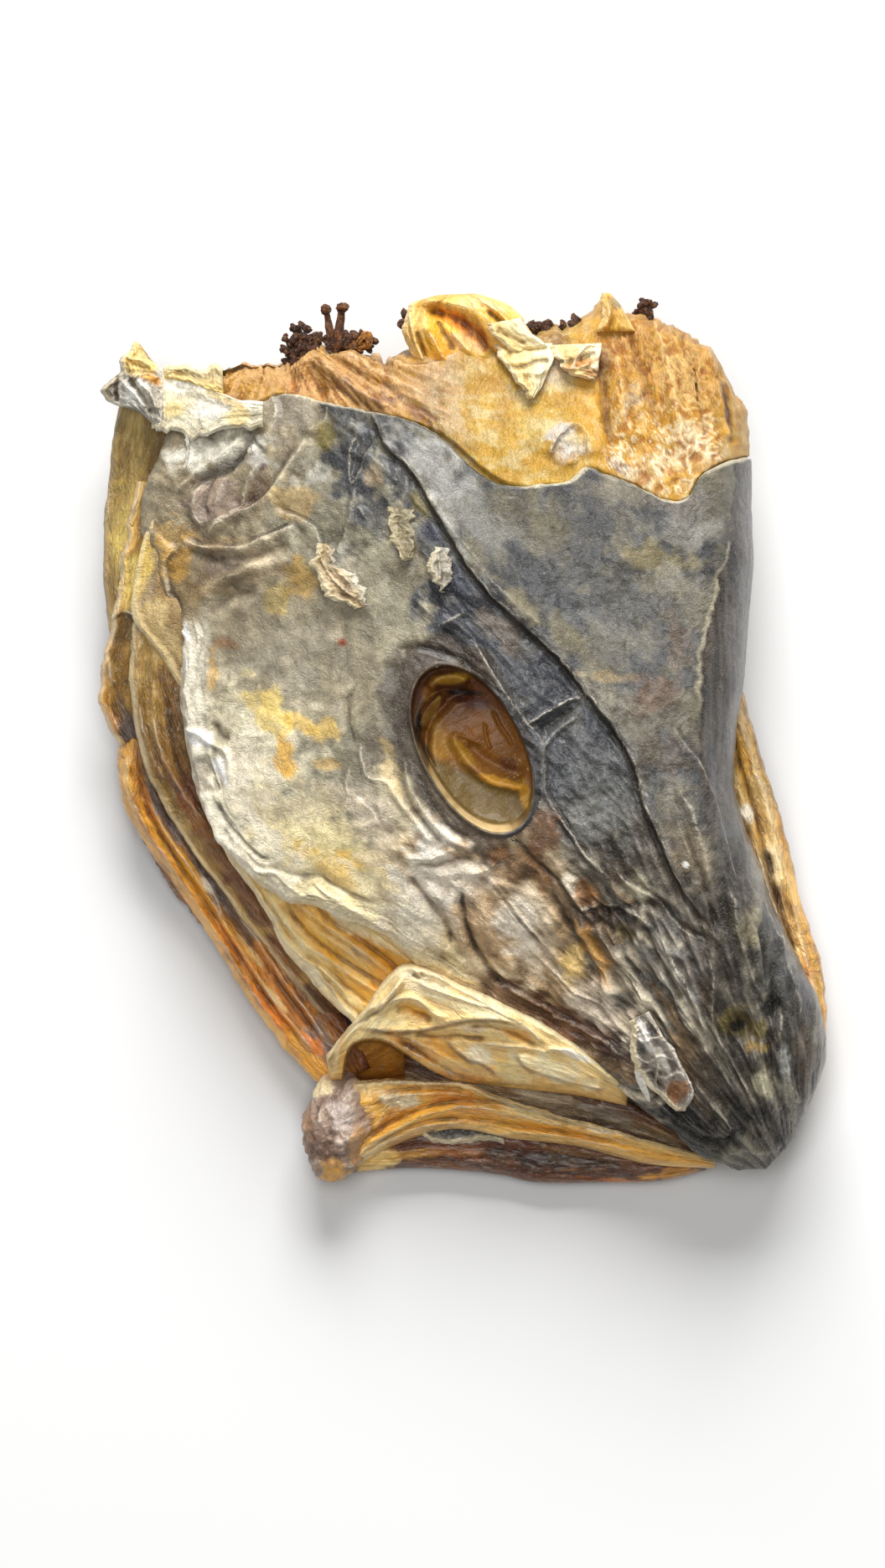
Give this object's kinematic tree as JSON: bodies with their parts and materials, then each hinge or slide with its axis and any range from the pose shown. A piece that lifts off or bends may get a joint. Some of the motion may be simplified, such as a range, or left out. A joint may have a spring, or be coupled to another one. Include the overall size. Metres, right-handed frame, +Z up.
{
  "type": "dried cod head",
  "caption": "Air-dried stockfish head lying on its side, cheek up, with an open eye socket, folded lip, jaws and torn neck edge.",
  "frame": {"origin": "centre of the head's overall box, on the table it lies on", "axes": "+X towards the top of the skull, +Y towards the cut neck, +Z up off the table, through the right cheek"},
  "size_m": [0.173, 0.2109, 0.0623],
  "materials": {
    "dried_skin": "satin"
  },
  "bodies": {
    "root": {"dried_cod_head": "dried_skin"}
  },
  "joints": []
}
